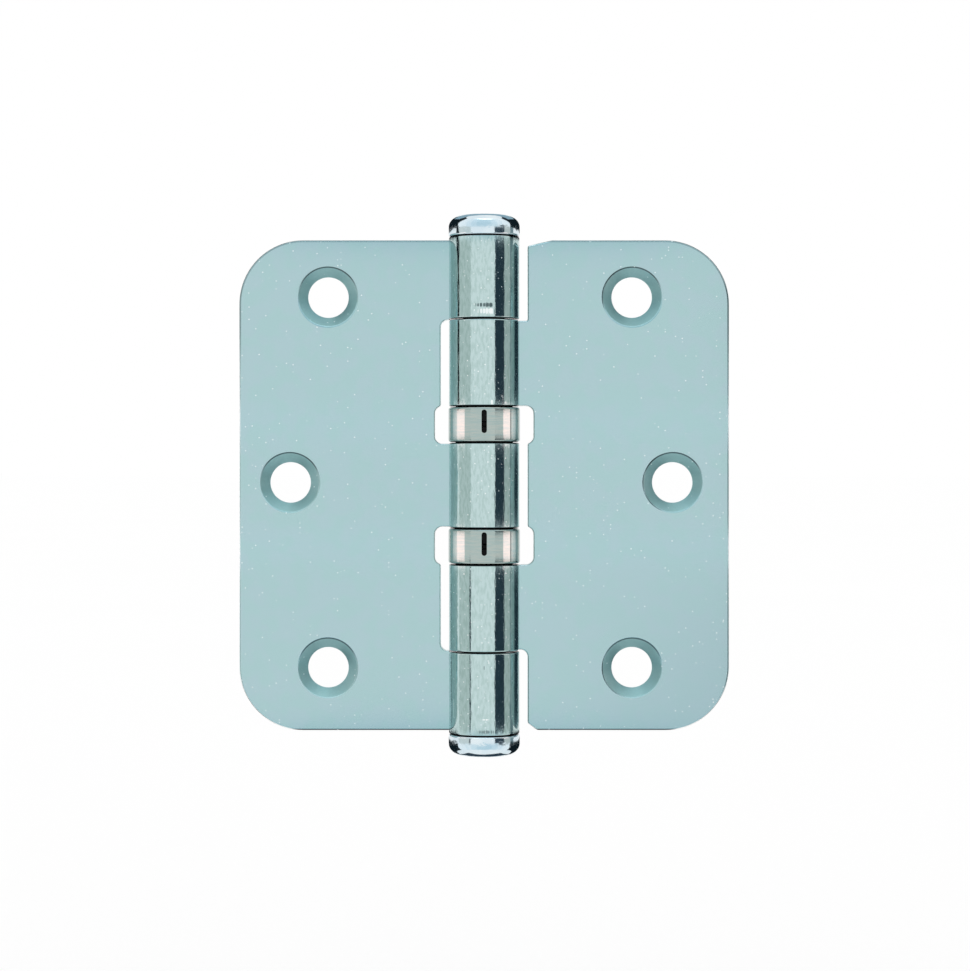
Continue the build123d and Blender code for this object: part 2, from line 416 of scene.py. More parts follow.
    def lined(self, board: Metal, colour: Signal, edges: Signal, barrel: Signal, rub: Signal) -> Signal:
        """Draw the sheet's cut edges and countersinks in painted shade, thin lines of painted highlight
        along the plates' outline, and painted shade along the top and bottom edges.

        Args:
            board: The material's nodes.
            colour: The colour so far.
            edges: The mask of what lies behind the front faces.
            barrel: The barrel's mask.
            rub: Fine noise of wear.

        Returns:
            The colour with its edges.
        """
        wide, tall = (abs(part).over(self.corner_centre) for part in (board.x, board.z))
        rounded = wide.hypot(tall).rise(*self.corner_reach)
        outline = edges * (rounded + (1 - abs(board.x).rise(*self.plate_start))).rise(0.0, 1.0)
        # Painted shade, broken by wear noise, on what lies behind the front face, mostly the countersinks.
        colour = board.mix((edges - outline) * (0.5 + 0.6 * rub), colour, tint(*self.countersink_shade))
        # Painted highlight: pale thin lines along the plates' outline and beside the barrel.
        colour = board.mix(outline * 0.8, colour, tint(*self.pale))
        facing = rounded * (1 - board.y.rise(*self.front_depth)) * (1 - barrel)
        # Painted shade along the front of the upper edges.
        colour = board.mix(board.z.rise(*self.top_line) * facing, colour, tint(*self.top_edge_shade))
        # Painted reflection of the dark below: a dark line along the bottom edges.
        return board.mix((board.z * -1).rise(*self.bottom_line) * facing, colour, tint(*self.dark))

    def hole_arc_shade(self, board: Metal) -> Signal:
        """The mask of a thin arc of painted shade over each screw hole.

        Args:
            board: The material's nodes.

        Returns:
            The mask.
        """
        near, *others = ((board.x - x).hypot(board.z - z) for x, z in self.holes)
        for reach in others:
            near = near.least(reach)
        pitch = (board.z + (self.hole_pitch * 1.5 - self.hole_shift)) / self.hole_pitch
        above = (pitch.fraction() - 0.5).rise(0.02, 0.12) * 0.9
        return near.band(self.hole_rim, 0.24, 0.1) * (1 - board.y.rise(*self.rim_depth)) * above

    def marked(self, board: Metal, colour: Signal, around: Signal, barrel: Signal) -> Signal:
        """Draw the barrel's dark scuffs, its painted highlights on small dents, and the dark joints between
        its knuckles.

        Args:
            board: The material's nodes.
            colour: The colour so far.
            around: Distance round the barrel from its front.
            barrel: The barrel's mask.

        Returns:
            The colour with its marks.
        """
        strokes = board.noise(board.point(around * 4.5, board.z * 0.1, 0.0), 0.9, 2.0)
        for scuff_and_highlight in self.scuffs_and_highlights:
            middle = math.radians(scuff_and_highlight.angle) * self.barrel_radius
            across = around.band(middle, scuff_and_highlight.width, scuff_and_highlight.width * 0.7)
            along = board.z.band(scuff_and_highlight.height, scuff_and_highlight.length, scuff_and_highlight.length * 0.7)
            mark = (across * along * barrel - strokes * 1.6).rise(0.0, 0.2)
            # A bright mark is a painted highlight on a dent; a dark one is a scuff.
            tone = self.pale if scuff_and_highlight.bright > 0 else self.dark
            colour = board.mix(mark * abs(scuff_and_highlight.bright), colour, tint(*tone))
        for height in self.joints:
            line = abs(board.z).band(height, self.joint_width, 0.14) * barrel
            colour = board.mix(line, colour, tint(*self.soot))
        return colour


@dataclass(frozen=True)
class BrightPin:
    """Polished and plated steel of the button caps, with grease and painted shade, near black, on what the
    barrel hides.
    """

    clear: tuple = (226, 238, 243)
    cool: tuple = (214, 230, 238)
    pale: tuple = (245, 250, 252)
    grease_and_shade: tuple = (7, 11, 13)
    hidden_height: float = 45.0
    roughness: float = 0.1

    def material(self) -> bpy.types.Material:
        """Make the finish.

        Returns:
            The material.
        """
        board = Metal("bright_pin")
        clouds = board.noise(board.here, 3.0, 3.0).rise(0.35, 0.65)
        colour = board.mix(clouds, tint(*self.clear), tint(*self.cool))
        spots = board.specks(board.here, 0.7, 0.16, 0.12)
        colour = board.mix(spots, colour, tint(*self.pale))
        # Grease and painted shade: near black wherever the barrel hides the pin, so its gaps read dark.
        shown = abs(board.z).rise(self.hidden_height, self.hidden_height + 0.16)
        colour = board.mix(shown, tint(*self.grease_and_shade), colour)
        haze = board.noise(board.here, 0.5, 3.0)
        return board.finish(
            Base_Color=colour,
            Metallic=1.0,
            Roughness=self.roughness + (haze - 0.4) * 0.06,
            Normal=board.bump(clouds, 0.02),
        )


@dataclass(frozen=True)
class NickelCan:
    """Polished nickel on a bearing's rolled can, with grease and painted shade darkening its inside, and
    dark lips at its joints.
    """

    warm: tuple = (178, 187, 181)
    cool: tuple = (164, 182, 179)
    grease_and_shade: tuple = (9, 9, 10)
    wall_radius: float = 6.42
    lip_radius: float = 6.2
    roughness: float = 0.07

    def material(self) -> bpy.types.Material:
        """Make the finish.

        Returns:
            The material.
        """
        board = Metal("nickel_can")
        low, high = (height_of("upper_bearing_shell", end) for end in (0, 1))
        from_middle = abs(abs(board.z) - (low + high) / 2)
        inside = 1 - from_middle.rise(0.42 * (high - low), 0.43 * (high - low))
        wall = board.out.rise(self.wall_radius, self.wall_radius + 0.03)
        outside = (1 - inside * (1 - wall)) * board.out.rise(self.lip_radius, self.lip_radius + 0.06)
        brushed = board.noise(board.point(board.x * 0.6, board.y * 0.6, board.z * 6), 1.5, 3.0)
        colour = board.mix(brushed.rise(0.3, 0.7), tint(*self.warm), tint(*self.cool))
        # Grease and painted shade inside the can, so the slot reads black; the lips stay dark as joints.
        colour = board.mix(outside, tint(*self.grease_and_shade), colour)
        haze = board.noise(board.here, 0.6, 3.0)
        return board.finish(
            Base_Color=colour,
            Metallic=outside,
            Roughness=(self.roughness + (haze - 0.4) * 0.04) * outside + 0.5 * (1 - outside),
            Specular_IOR_Level=0.1,
            Normal=board.bump(brushed, 0.0008),
        )


@dataclass(frozen=True)
class GreasedSteel:
    """Ground or polished steel under a film of dark grease, for races and balls, fully dark as painted
    shade beyond the ball track.
    """

    name: str
    steel: tuple
    grease_and_shade: tuple = (10, 10, 11)
    bare: float = 0.25
    roughness: float = 0.3

    def material(self) -> bpy.types.Material:
        """Make the finish.

        Returns:
            The material.
        """
        board = Metal(self.name)
        film = board.film(1.4, self.bare, self.bare + 0.2)
        lathe = board.noise(board.point(board.out, 0.0, 0.0), 0.12, 2.0)
        return board.finish(
            Base_Color=board.mix(film, tint(*self.steel), tint(*self.grease_and_shade)),
            Metallic=1 - film,
            Roughness=self.roughness + 0.2 * film,
            Specular_IOR_Level=0.1,
            Normal=board.bump(lathe, 0.002),
        )


@dataclass(frozen=True)
class CageBrass:
    """Pressed brass sheet of a ball cage, dulled by grease, and fully dark as painted shade beyond the ball
    track.
    """

    brass: tuple = (184, 143, 70)
    shade: tuple = (9, 8, 7)

    def material(self) -> bpy.types.Material:
        """Make the finish.

        Returns:
            The material.
        """
        board = Metal("cage_brass")
        film = board.film(1.1, 0.25, 0.5)
        return board.finish(
            Base_Color=board.mix(film, tint(*self.brass), tint(*self.shade)),
            Metallic=1 - film * 0.8,
            Roughness=0.35 + 0.2 * film,
            Specular_IOR_Level=0.1,
            Normal=board.bump(board.noise(board.here, 0.4, 2.0), 0.003),
        )


def stand_back() -> None:
    """Leave edit mode and deselect everything."""
    if bpy.context.mode != "OBJECT":
        bpy.ops.object.mode_set(mode="OBJECT")
    bpy.ops.object.select_all(action="DESELECT")


class Workpiece:
    """A mesh on the bench, in millimetres, shaped by operators in edit mode."""

    def __init__(self, name: str, add: Callable[..., object], **sizes: object) -> None:
        """Add a primitive at its size and place.

        Args:
            name: The piece's name.
            add: The operator that adds the primitive.
            sizes: The operator's own values.
        """
        stand_back()
        add(**sizes)
        self.object = bpy.context.active_object
        self.object.name = self.object.data.name = name
        bpy.ops.object.transform_apply(location=True, rotation=True, scale=True)

    def take(self) -> None:
        """Leave edit mode and select this piece alone."""
        stand_back()
        self.object.select_set(True)
        bpy.context.view_layer.objects.active = self.object

    def edit(self) -> bmesh.types.BMesh:
        """Go to edit mode on this piece alone.

        Returns:
            Its mesh as edit mode holds it.
        """
        self.take()
        bpy.ops.object.mode_set(mode="EDIT")
        return bmesh.from_edit_mesh(self.object.data)

    def pick(self, kind: Kind, test: Test) -> list[Vector]:
        """Select what passes a test, and nothing else.

        Args:
            kind: Vertices, edges or faces.
            test: Says yes or no to a middle point and a direction: a face's or vertex's normal,
                or an edge's run.

        Returns:
            The middles of what was selected.
        """
        mesh = self.edit()
        bpy.ops.mesh.select_mode(type=kind.name)
        bpy.ops.mesh.select_all(action="DESELECT")
        picked = []
        for element in getattr(mesh, kind.value):
            if kind is Kind.EDGE:
                first, second = (corner.co for corner in element.verts)
                middle, run = (first + second) / 2, (second - first).normalized()
            elif kind is Kind.FACE:
                middle, run = element.calc_center_median(), element.normal
            else:
                middle, run = element.co.copy(), element.normal
            if test(middle, run):
                element.select_set(True)
                picked.append(middle)
        mesh.select_flush_mode()
        bmesh.update_edit_mesh(self.object.data)
        return picked

    def everything(self) -> None:
        """Select the whole mesh."""
        self.edit()
        bpy.ops.mesh.select_mode(type="VERT")
        bpy.ops.mesh.select_all(action="SELECT")

    def bisect(self, point: Point, normal: Point, clear: bool = False) -> None:
        """Cut the whole mesh by a plane, and clear what lies beyond it if asked."""
        self.everything()
        bpy.ops.mesh.bisect(
            plane_co=point, plane_no=normal, clear_outer=clear, use_fill=clear, threshold=TINY / 10
        )

    def bevel(self, width: float, segments: int) -> None:
        """Round the selected edges, by the radius that a square edge gets and its facets."""
        bpy.ops.mesh.bevel(offset=width, segments=segments, affect="EDGES", clamp_overlap=False)

    def extrude(self, move: Point) -> None:
        """Pull out the selection by a move."""
        bpy.ops.mesh.extrude_region_move(TRANSFORM_OT_translate={"value": move})

    def scale(self, factors: Point, centre: Point) -> None:
        """Scale the selection about a centre."""
        bpy.ops.transform.resize(value=factors, center_override=centre)

    def shift(self, move: Point) -> None:
        """Move the selection."""
        bpy.ops.transform.translate(value=move)

    def spin(self, degrees: float, steps: int, centre: Point) -> None:
        """Sweep the selection round an upright axis, anticlockwise seen from +Z."""
        bpy.ops.mesh.spin(
            steps=steps, angle=-math.radians(degrees), center=centre, axis=(0, 0, 1), dupli=False
        )

    def clean(self) -> None:
        """Merge doubled points and turn every face outwards."""
        self.everything()
        bpy.ops.mesh.remove_doubles(threshold=TINY / 5)
        bpy.ops.mesh.normals_make_consistent(inside=False)

    def cut(self, cutter: "Workpiece") -> None:
        """Take another piece's volume out of this one, and use that piece up.

        Args:
            cutter: The volume to take out.
        """
        cutter.clean()
        bpy.ops.object.mode_set(mode="OBJECT")
        difference = self.object.modifiers.new("cut", "BOOLEAN")
        difference.operation = "DIFFERENCE"
        difference.solver = "EXACT"
        difference.object = cutter.object
        self.apply("cut")
        bpy.data.objects.remove(cutter.object)

    def apply(self, modifier: str) -> None:
        """Apply the modifier of a name."""
        self.take()
        bpy.ops.object.modifier_apply(modifier=modifier)

    def round_sharp(self, width: float, segments: int, keep: Test, sharpness: float = 30.0) -> None:
        """Round the edges that turn by more than an angle.

        Args:
            width: The rounding's width.
            segments: Its number of facets.
            keep: Says which edges stay as they are, by middle point and run.
            sharpness: The angle in degrees.
        """
        self.pick(Kind.EDGE, lambda at, run: False)
        bpy.ops.mesh.edges_select_sharp(sharpness=math.radians(sharpness))
        mesh = bmesh.from_edit_mesh(self.object.data)
        for edge in mesh.edges:
            first, second = (corner.co for corner in edge.verts)
            if edge.select and keep((first + second) / 2, (second - first).normalized()):
                edge.select_set(False)
        bmesh.update_edit_mesh(self.object.data)
        self.bevel(width, segments)

    def to_metres(self) -> None:
        """Bring the whole mesh from millimetres to metres, and leave edit mode."""
        self.everything()
        self.scale((MM, MM, MM), (0, 0, 0))
        bpy.ops.object.mode_set(mode="OBJECT")

    def finish(self, finish: bpy.types.Material, sharp: float = 40.0) -> bpy.types.Object:
        """Smooth the piece, bring it to metres and dress it.

        Args:
            finish: The material.
            sharp: Edges that turn by more than this many degrees stay crisp.

        Returns:
            The finished object.
        """
        self.clean()
        self.to_metres()
        bpy.ops.object.shade_smooth_by_angle(angle=math.radians(sharp))
        weighted = self.object.modifiers.new("even", "WEIGHTED_NORMAL")
        weighted.keep_sharp = True
        self.apply("even")
        self.object.data.materials.clear()
        self.object.data.materials.append(finish)
        return self.object


def block(name: str, centre: Point, size: Point) -> Workpiece:
    """A box by its centre and size."""
    return Workpiece(name, bpy.ops.mesh.primitive_cube_add, size=1, location=centre, scale=size)


def turned(name: str, rings: list[Point2], sides: int, hollow: bool) -> Workpiece:
    """Turn a piece round the pin's axis, ring by ring.

    Args:
        name: The piece's name.
        rings: Radius and height of each ring.
        sides: Facets round the axis.
        hollow: Whether the last ring closes onto the first, or both are filled with a disc.

    Returns:
        The turned piece.
    """
    radius, height = rings[0]
    piece = Workpiece(
        name,
        bpy.ops.mesh.primitive_circle_add,
        vertices=sides,
        radius=radius,
        fill_type="NOTHING" if hollow else "NGON",
        location=(0, 0, height),
    )
    piece.everything()
    route = rings[1:] + rings[:1] if hollow else rings[1:]
    for next_radius, next_height in route:
        piece.extrude((0, 0, next_height - height))
        growth = next_radius / radius
        piece.scale((growth, growth, 1), (0, 0, next_height))
        radius, height = next_radius, next_height
    return piece


def arc(centre: Point2, size: Point2, turn: Point2, steps: int) -> list[Point2]:
    """Points along part of an ellipse in a turned piece's section.

    Args:
        centre: Radius and height of its centre.
        size: Its half width and half height.
        turn: Its first and last angle in degrees, 0 being outwards and 90 upwards.
        steps: How many spans it is divided into.

    Returns:
        Radius and height of each point, the ends included.
    """
    first, last = (math.radians(angle) for angle in turn)
    angles = [first + (last - first) * step / steps for step in range(steps + 1)]
    return [
        (centre[0] + size[0] * math.cos(angle), centre[1] + size[1] * math.sin(angle))
        for angle in angles
    ]


def height_of(node: str, end: int) -> float:
    """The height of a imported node's lower (0) or upper (1) end, in millimetres."""
    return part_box(node)[end].z / MM


@dataclass
class Barrel:
    """The heights along the pin that every piece of the hinge is built to."""

    inner_knuckle: float = 15.64
    knuckle_gap: float = 0.17
    top: float = field(default_factory=lambda: height_of("three_knuckle_leaf", 1))
    bearing_top: float = field(default_factory=lambda: height_of("upper_bearing_top_race", 1))
    bearing_low: float = field(default_factory=lambda: height_of("upper_bearing_bottom_race", 0))

    def rows(self) -> list[Point2]:
        """Work out the knuckles.

        Returns:
            The low and high end of each, from the top one down.
        """
        inner = (self.bearing_top, self.bearing_top + self.inner_knuckle)
        outer = (inner[1] + self.knuckle_gap, self.top)
        middle = (-self.bearing_low, self.bearing_low)
        return [outer, inner, middle, (-inner[1], -inner[0]), (-outer[1], -outer[0])]


@dataclass
class Piece:
    """A piece of the hinge, built to the barrel's heights and dressed in its finish."""

    barrel: Barrel
    finish: bpy.types.Material


@dataclass
class Leaf(Piece):
    """One folded leaf: a plate with rounded corners, rolled knuckles and countersunk holes."""

    name: str
    node: str
    body: str
    side: Side
    screws: tuple[Point2, ...]
    nips: tuple[tuple[float, float, float], ...] = ()
    reach: float = 44.5
    half_height: float = 44.5
    front: float = 0.8
    sheet: float = 2.5
    corner: float = 11.6
    bore: float = 3.9
    bend_radius: float = 3.0
    barrel_space: float = 1.5
    bearing_space: float = 2.55
    bearing_margin: float = 0.15
    gap_corner: float = 1.3
    top_gap_corner: float = 0.3
    relief_corner: float = 1.35
    edge: float = 0.3
    rim_edge: float = 0.25
    bend_steps: int = 8
    flare_steps: int = 5
    roll_steps: int = 96
    seam_gap: float = 0.12
    hole_radius: float = 3.7
    sink_radius: float = 5.4

    def __post_init__(self) -> None:
        """Work out which knuckles are its own, and where the sheet bends and rolls."""
        self.own = self.barrel.rows()[0 if self.side is Side.LEFT else 1 :: 2]
        self.back = self.front + self.sheet
        self.round = self.bore + self.sheet
        middle = self.bore + self.sheet / 2
        depth = self.front + self.sheet / 2 + self.bend_radius
        self.bend = (math.sqrt((middle + self.bend_radius) ** 2 - depth**2), depth)
        self.roll_start = math.degrees(math.atan2(self.bend[1], self.bend[0]))

    def plate(self) -> Workpiece:
        """The flat plate with its outer corners rounded, from where the sheet starts to bend."""
        inner = self.bend[0]
        piece = block(
            self.name,
            ((inner + self.reach) / 2, self.front + self.sheet / 2, 0),
            (self.reach - inner, self.sheet, 2 * self.half_height),
        )
        piece.pick(Kind.EDGE, lambda at, run: abs(run.y) > 0.9 and at.x > self.reach - TINY)
        piece.bevel(self.corner, 20)
        return piece

    def nip(self, piece: Workpiece, side: float, width: float, height: float) -> None:
        """Take a slanted cut off the free corner beside the barrel.

        Args:
            piece: The plate.
            side: 1 for the top corner, -1 for the bottom one.
            width: The cut's size along X.
            height: Its size along Z.
        """
        start = (self.round + self.barrel_space, self.front, side * (self.half_height - height))
        across = math.hypot(width, height)
        piece.bisect(start, (-height / across, 0, side * width / across), clear=True)

    def notch(self, piece: Workpiece, depth: float, low: Point2, high: Point2) -> None:
        """Cut a notch from the barrel side, with its far corners rounded.

        Args:
            piece: The plate.
            depth: How far from the pin's axis it reaches.
            low: Its lower end, and the radius of its far corner there.
            high: Its upper end, and the radius there.
        """
        cutter = block(
            "notch",
            (depth / 2, self.front + self.sheet / 2, (low[0] + high[0]) / 2),
            (depth, 3 * self.sheet, high[0] - low[0]),
        )
        for end, radius in (low, high):
            cutter.pick(
                Kind.EDGE,
                lambda at, run: abs(run.y) > 0.9 and at.x > depth - TINY and abs(at.z - end) < TINY,
            )
            cutter.bevel(radius, 8)
        piece.cut(cutter)

    def notches(self, piece: Workpiece) -> None:
        """Cut the room for the other leaf's knuckles and for the two bearings.

        Args:
            piece: The plate.
        """
        past = self.half_height + self.sheet
        tops = [past] + [low for low, _ in self.own]
        bottoms = [high for _, high in self.own] + [-past]
        for top, bottom in zip(tops, bottoms):
            if top - bottom > 2 * self.sheet:
                low_corner = self.top_gap_corner if top == past else self.gap_corner
                depth = self.round + self.barrel_space
                self.notch(piece, depth, (bottom, low_corner), (top, self.gap_corner))
        low = self.barrel.bearing_low - self.bearing_margin
        high = self.barrel.bearing_top + self.bearing_margin
        for start, end in ((low, high), (-high, -low)):
            depth = self.round + self.bearing_space
            self.notch(piece, depth, (start, self.relief_corner), (end, self.relief_corner))

    def bend_turn(self, at: Vector) -> float:
        """How far along the bend a point lies, in degrees from the flat plate."""
        return math.degrees(math.atan2(self.bend[0] - at.x, self.bend[1] - at.y))

    def roll_knuckles(self, piece: Workpiece) -> None:
        """Bend the tongues out, flare them there to the knuckles' length and roll them round the pin.

        Args:
            piece: The notched plate.
        """
        inner = self.bend[0]
        turn = 90 - self.roll_start
        step = turn / self.bend_steps
        piece.clean()
        piece.pick(Kind.FACE, lambda at, run: at.x < inner + TINY and run.x < -0.9)
        piece.spin(-turn, self.bend_steps, (*self.bend, 0))
        for end in (end for row in self.own for end in row):
            for ring in range(1, self.bend_steps + 1):
                found = piece.pick(
                    Kind.VERT,
                    lambda at, run: abs(self.bend_turn(at) - ring * step) < step / 2
                    and abs(at.z - end) < 0.5,
                )
                share = min(1.0, ring / self.flare_steps)
                piece.shift((0, 0, (end - found[0].z) * share))
        ahead = Vector((-math.cos(math.radians(turn)), math.sin(math.radians(turn)), 0))
        piece.pick(Kind.FACE, lambda at, run: self.bend_turn(at) > turn - TINY and run.dot(ahead) > 0.999)
        seam = math.degrees(math.asin((self.front - self.seam_gap) / self.round))
        piece.spin(360 - self.roll_start + seam, self.roll_steps, (0, 0, 0))
        piece.clean()

    def countersink(self, piece: Workpiece, x: float, z: float) -> None:
        """Cut one screw hole, wide at the front.

        Args:
            piece: The leaf.
            x: The hole's distance from the pin.
            z: Its height.
        """
        floor = self.front + self.sink_radius - self.hole_radius
        cutter = Workpiece(
            "screw_hole",
            bpy.ops.mesh.primitive_cylinder_add,
            vertices=96,
            radius=self.hole_radius,
            depth=2 * self.sheet,
            location=(x, floor + self.sheet, z),
            rotation=(math.pi / 2, 0, 0),
        )
        cutter.pick(Kind.FACE, lambda at, run: run.y < -0.9)
        past = self.front - floor - 1
        growth = (self.hole_radius - past) / self.hole_radius
        cutter.extrude((0, past, 0))
        cutter.scale((growth, 1, growth), (x, floor + past, z))
        piece.cut(cutter)

    def in_hole(self, at: Vector, run: Vector) -> bool:
        """Whether an edge belongs to a screw hole."""
        return any(math.hypot(at.x - x, at.z - z) < self.sink_radius + TINY for x, z in self.screws)

    def on_rim(self, at: Vector, run: Vector) -> bool:
        """Whether an edge runs along one of the round edges of a screw hole.

        Args:
            at: The edge's middle.
            run: Its direction.

        Returns:
            Yes or no.
        """
        for x, z in self.screws:
            outwards = Vector((at.x - x, 0, at.z - z))
            away = outwards.length
            wide = abs(away - self.sink_radius) < 0.02 and at.y < self.front + TINY
            narrow = abs(away - self.hole_radius) < 0.02 and at.y > self.back - TINY
            if (wide or narrow) and abs(run.dot(outwards)) < 0.1 * away:
                return True
        return False

    def build(self) -> bpy.types.Object:
        """Make the leaf, on +X first and mirrored if it belongs on the other side.

        Returns:
            The finished leaf.
        """
        piece = self.plate()
        for side, width, height in self.nips:
            self.nip(piece, side, width, height)
        self.notches(piece)
        for x, z in self.screws:
            self.countersink(piece, x, z)
        self.roll_knuckles(piece)
        piece.round_sharp(self.edge, 3, keep=self.in_hole)
        piece.pick(Kind.EDGE, self.on_rim)
        piece.bevel(self.rim_edge, 3)
        if self.side is Side.LEFT:
            piece.everything()
            piece.scale((-1, 1, 1), (0, 0, 0))
        made = piece.finish(self.finish)
        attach(made, self.body)
        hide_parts(self.node)
        return made


@dataclass
class Button:
    """The domed cap that the pin and the bottom plug share."""

    radius: float = 6.45
    height: float = 3.9
    shoulder: tuple[float, float] = (2.4, 2.1)
    edge: float = 0.45

    def rings(self, base: float) -> list[Point2]:
        """The cap's section from its underside to its flat top.

        Args:
            base: The height of its underside.

        Returns:
            Radius and height of each ring.
        """
        width, rise = self.shoulder
        side_top = base + self.height - rise
        lower = arc((self.radius - self.edge, base + self.edge), (self.edge, self.edge), (-90, 0), 6)
        upper = arc((self.radius - width, side_top), (width, rise), (0, 90), 24)
        return lower + upper


@dataclass
class HingePin(Piece):
    """The pin: a button head, a serrated neck and a plain shaft with a chamfered tip."""

    radius: float = 3.85
    tip_chamfer: float = 1.0
    teeth: int = 24
    teeth_start: float = 2.5
    teeth_length: float = 6.0
    teeth_rise: float = 0.045
    teeth_fade: float = 0.05
    sides: int = 144

    def build(self) -> bpy.types.Object:
        """Make the pin.

        Returns:
            The finished pin.
        """
        tip = height_of("hinge_pin", 0)
        high = self.barrel.top - self.teeth_start
        low = high - self.teeth_length
        fade = self.teeth_fade
        shaft = [(self.radius - self.tip_chamfer, tip), (self.radius, tip + self.tip_chamfer)]
        shaft += [(self.radius, at) for at in (low, low + fade, high - fade, high, self.barrel.top)]
        rings = shaft + Button().rings(self.barrel.top)
        piece = turned("domed_pin", rings, self.sides, hollow=False)
        step = 2 * math.pi / self.teeth

        def on_tooth(at: Vector, run: Vector) -> bool:
            """Whether a point is on the crest of a tooth."""
            turn = math.atan2(at.y, at.x) / step
            return low + fade / 2 < at.z < high - fade / 2 and abs(turn - round(turn)) < 0.01

        piece.pick(Kind.VERT, on_tooth)
        growth = 1 + self.teeth_rise / self.radius
        piece.scale((growth, growth, 1), (0, 0, 0))
        made = piece.finish(self.finish)
        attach(made, "fixed_leaf")
        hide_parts("hinge_pin")
        return made


@dataclass
class BottomPlug(Piece):
    """The button that closes the lowest knuckle, with a short pressed shank."""

    radius: float = 3.89
    length: float = 7.0
    chamfer: float = 0.5
    sides: int = 144

    def build(self) -> bpy.types.Object:
        """Make the plug head up, and turn it over.

        Returns:
            The finished plug.
        """
        base = self.barrel.top
        tip = base - self.length
        rings = [(self.radius - self.chamfer, tip), (self.radius, tip + self.chamfer)]
        rings += [(self.radius, base)] + Button().rings(base)
        piece = turned("domed_plug", rings, self.sides, hollow=False)
        piece.everything()
        piece.scale((1, 1, -1), (0, 0, 0))
        made = piece.finish(self.finish)
        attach(made, "fixed_leaf")
        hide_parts("bottom_plug")
        return made


@dataclass
class BearingCan(Piece):
    """A bearing's rolled can, with an inward lip at each end and a narrow slot at the front."""

    which: str
    body: str
    radius: float = 6.5
    wall: float = 0.45
    lip: float = 0.7
    edge: float = 0.42
    slot_width: float = 0.95
    slot_height: float = 4.2
    slot_rise: float = 0.5
    sides: int = 144

    def build(self) -> bpy.types.Object:
        """Make the can.

        Returns:
            The finished can.
        """
        node = f"{self.which}_bearing_shell"
        low, high = height_of(node, 0), height_of(node, 1)
        bore = self.radius - self.wall
        inner = bore - self.lip
        knee = self.radius - self.edge
        round_edge = (self.edge, self.edge)
        rings = [(inner, low)] + arc((knee, low + self.edge), round_edge, (-90, 0), 6)
        rings += arc((knee, high - self.edge), round_edge, (0, 90), 6) + [(inner, high)]
        rings += [(inner, high - self.wall), (bore, high - self.wall)]
        rings += [(bore, low + self.wall), (inner, low + self.wall)]
        piece = turned(f"{self.which}_bearing_can", rings, self.sides, hollow=True)
        piece.clean()
        cutter = block(
            "slot",
            (0, -self.radius, (low + high) / 2 + self.slot_rise),
            (self.slot_width, 2 * self.wall + self.lip, self.slot_height),
        )
        cutter.pick(Kind.EDGE, lambda at, run: abs(run.y) > 0.9)
        cutter.bevel(self.slot_width / 2 - TINY, 8)
        piece.cut(cutter)
        made = piece.finish(self.finish)
        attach(made, self.body)
        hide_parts(node)
        return made


def dress_inner_pieces() -> None:
    """Give the races, cages and balls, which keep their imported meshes, their finishes."""
    race = GreasedSteel("race_steel", (150, 152, 154)).material()
    ball = GreasedSteel("ball_steel", (205, 208, 212), roughness=0.1).material()
    cage = CageBrass().material()
    for name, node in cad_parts.items():
        finish = race if "race" in name else ball if "ball_" in name else cage
        node.data.materials.clear()
        node.data.materials.append(finish)


class Tone(Enum):
    """How much light a studio card gives back, as red, green and blue."""

    BLACK = (0.006, 0.012, 0.016)
    NAVY = (0.03, 0.05, 0.068)
    SLATE = (0.2, 0.27, 0.29)
    STEEL = (0.3, 0.43, 0.5)
    GREY = (0.68, 0.72, 0.7)
    STONE = (0.52, 0.56, 0.54)
    HAZE = (0.62, 0.77, 0.84)
    VEIL = (0.72, 0.84, 0.9)
    MIST = (0.86, 0.93, 0.97)
    WHITE = (1.0, 1.02, 1.03)
    STRIP = (2.35, 1.8, 1.8)
    SOFTBOX = (2.3, 2.5, 2.6)


@dataclass(frozen=True)
class Card:
    """A studio card that stands round the hinge and shows only in its reflections."""

    name: str
    tone: Tone
    azimuths: tuple[float, float]
    heights: tuple[float, float]
    radius: float

    def build(self) -> bpy.types.Object:
        """Stand the card up as part of a ring round the pin.

        Returns:
            The card.
        """
        low, high = self.heights
        start, end = self.azimuths
        turn = math.radians(start)
        foot = (self.radius * math.sin(turn), -self.radius * math.cos(turn), low)
        card = Workpiece(self.name, bpy.ops.mesh.primitive_plane_add, size=1, location=foot)
        card.everything()
        bpy.ops.mesh.merge(type="CENTER")
        card.extrude((0, 0, high - low))
        card.everything()
        card.spin(end - start, max(2, round((end - start) / 4)), (0, 0, 0))
        return show_in_reflections(card, self.tone)


@dataclass(frozen=True)
class Panel:
    """A flat studio card, level with the floor."""

    name: str
    tone: Tone
    centre: Point
    size: Point2

    def build(self) -> bpy.types.Object:
        """Hang the panel.

        Returns:
            The panel.
        """
        panel = Workpiece(self.name, bpy.ops.mesh.primitive_plane_add, size=1, location=self.centre)
        panel.everything()
        panel.scale((*self.size, 1), self.centre)
        return show_in_reflections(panel, self.tone)


def show_in_reflections(card: Workpiece, tone: Tone) -> bpy.types.Object:
    """Bring a card to metres and let only reflections see it.

    Args:
        card: The card in millimetres.
        tone: What it gives back.

    Returns:
        The card's object.
    """
    card.to_metres()
    board = Board(card.object.name)
    glow = {"Color": (*tone.value, 1.0), "Strength": 1.0}
    light = board.node("ShaderNodeEmission", {}, glow)
    board.feed(board.tree.nodes["Material Output"].inputs["Surface"], light)
    card.object.data.materials.append(board.material)
    card.object.visible_camera = False
    card.object.visible_diffuse = False
    card.object.visible_shadow = False
    return card.object


